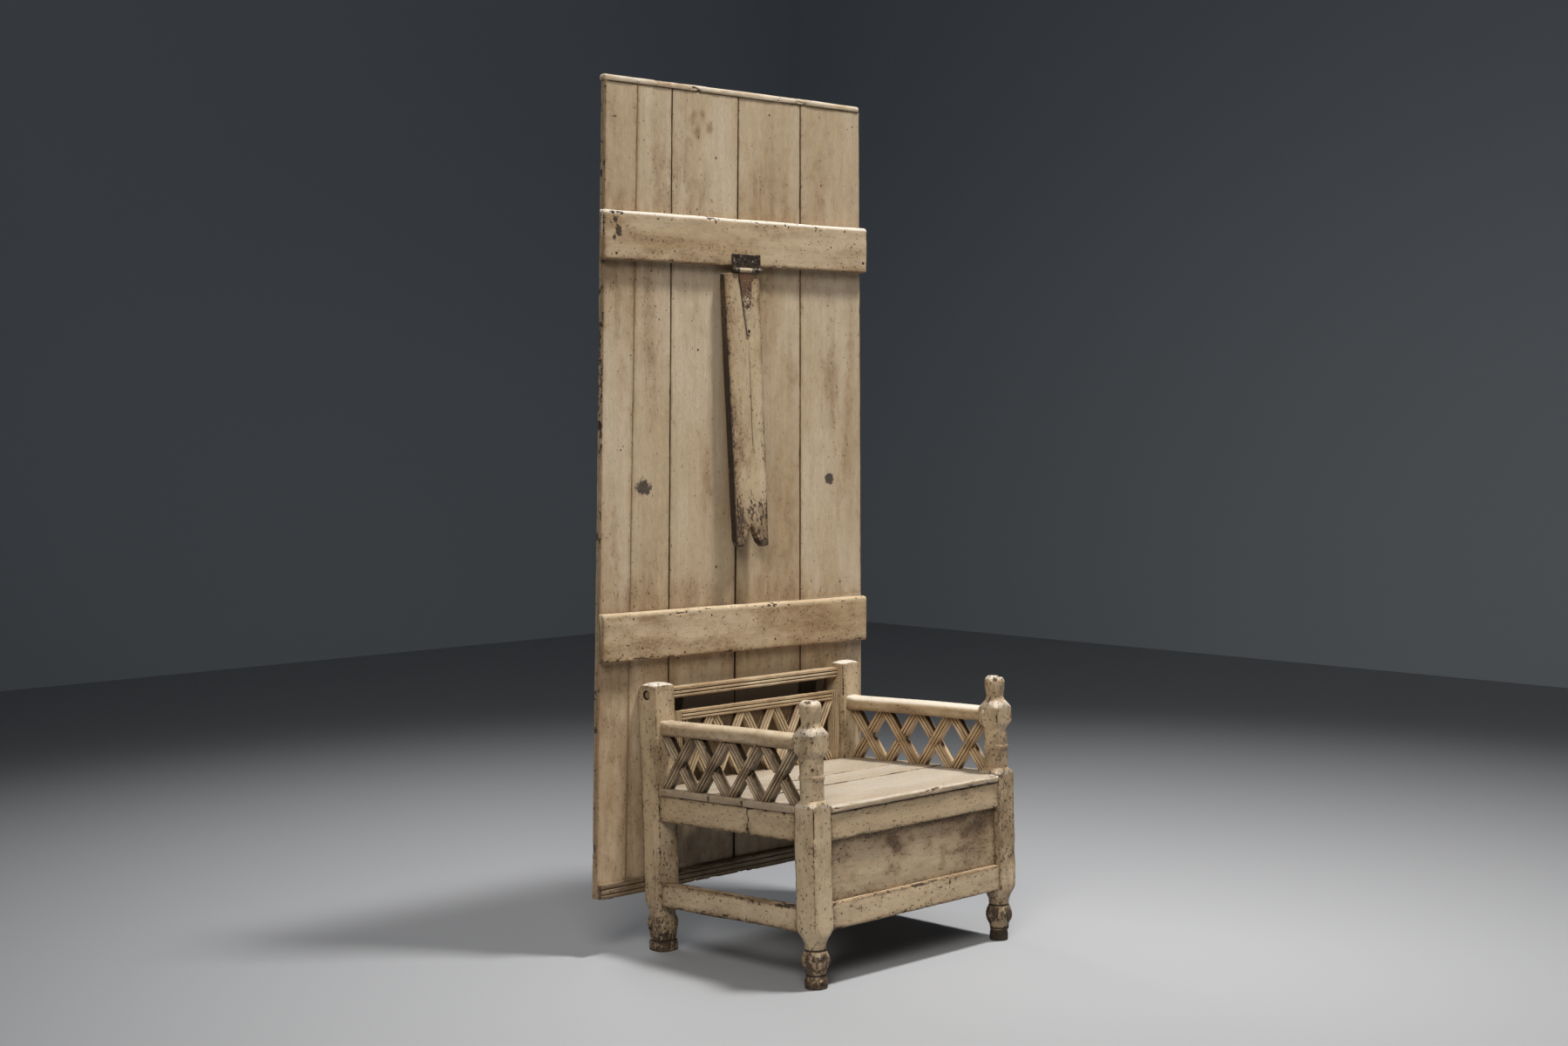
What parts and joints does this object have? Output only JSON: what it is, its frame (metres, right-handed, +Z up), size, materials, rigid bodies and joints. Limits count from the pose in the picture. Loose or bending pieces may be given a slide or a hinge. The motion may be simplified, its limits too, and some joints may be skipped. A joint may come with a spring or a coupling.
{
  "type": "chair-table",
  "caption": "Low wide painted armchair with lattice sides whose tall plank back turns forward on a wooden axle to become a table, propped at its far end by a hinged drop leg.",
  "frame": {"origin": "on the floor, under the middle of the whole object's bounding box", "axes": "+Z up, -Y the way a sitter faces, +X to a sitter's left"},
  "size_m": [1.0062, 0.6678, 2.2595],
  "materials": {
    "cream_paint": "worn cream paint over softwood",
    "grimy_paint": "grimy, rubbed cream paint over softwood",
    "iron": "dark wrought iron with specks of old paint",
    "painted_iron": "painted wrought iron, rusting through"
  },
  "bodies": {
    "chair": {"arm_left": "cream_paint", "arm_right": "cream_paint", "back_cross_1": "cream_paint", "back_cross_2": "cream_paint", "back_cross_3": "cream_paint", "back_cross_4": "cream_paint", "back_cross_5": "cream_paint", "back_stile_left": "cream_paint", "back_stile_right": "cream_paint", "back_top_rail": "cream_paint", "front_lower_rail": "cream_paint", "front_panel": "grimy_paint", "front_post_left": "cream_paint", "front_post_right": "cream_paint", "front_seat_rail": "cream_paint", "rear_post_left": "cream_paint", "rear_post_right": "cream_paint", "rear_seat_rail": "grimy_paint", "seat_board_front": "cream_paint", "seat_board_middle": "cream_paint", "seat_board_rear": "cream_paint", "side_seat_rail_left": "cream_paint", "side_seat_rail_right": "cream_paint", "side_slat_left_1": "grimy_paint", "side_slat_left_2": "grimy_paint", "side_slat_left_3": "grimy_paint", "side_slat_left_4": "grimy_paint", "side_slat_left_5": "grimy_paint", "side_slat_left_6": "grimy_paint", "side_slat_left_7": "grimy_paint", "side_slat_left_8": "grimy_paint", "side_slat_right_1": "cream_paint", "side_slat_right_2": "cream_paint", "side_slat_right_3": "cream_paint", "side_slat_right_4": "cream_paint", "side_slat_right_5": "cream_paint", "side_slat_right_6": "cream_paint", "side_slat_right_7": "cream_paint", "side_slat_right_8": "cream_paint", "side_stretcher_left": "cream_paint", "side_stretcher_right": "cream_paint"},
    "table": {"bottom_strip": "grimy_paint", "hinge_pin": "iron", "hinge_plate": "iron", "lower_batten": "cream_paint", "pivot_block_left": "grimy_paint", "pivot_block_right": "grimy_paint", "pivot_rail": "cream_paint", "table_board_1": "cream_paint", "table_board_2": "cream_paint", "table_board_3": "cream_paint", "table_board_4": "cream_paint", "table_board_5": "cream_paint", "top_cap": "cream_paint", "upper_batten": "cream_paint"},
    "leg": {"drop_leg": "cream_paint", "hinge_screw_1": "iron", "hinge_screw_2": "iron", "hinge_screw_3": "iron", "hinge_strap": "painted_iron"}
  },
  "joints": [
    {"name": "table_pivot", "type": "hinge", "parent": "chair", "child": "table", "pos_m": [0.02675, 0.27343, 0.66797], "axis": [1, 0, 0], "range_deg": [0, 90.2]},
    {"name": "leg_hinge", "type": "hinge", "parent": "table", "child": "leg", "pos_m": [0.02675, 0.27763, 1.779], "axis": [-1, 0, 0], "range_deg": [-2, 116.7]}
  ]
}
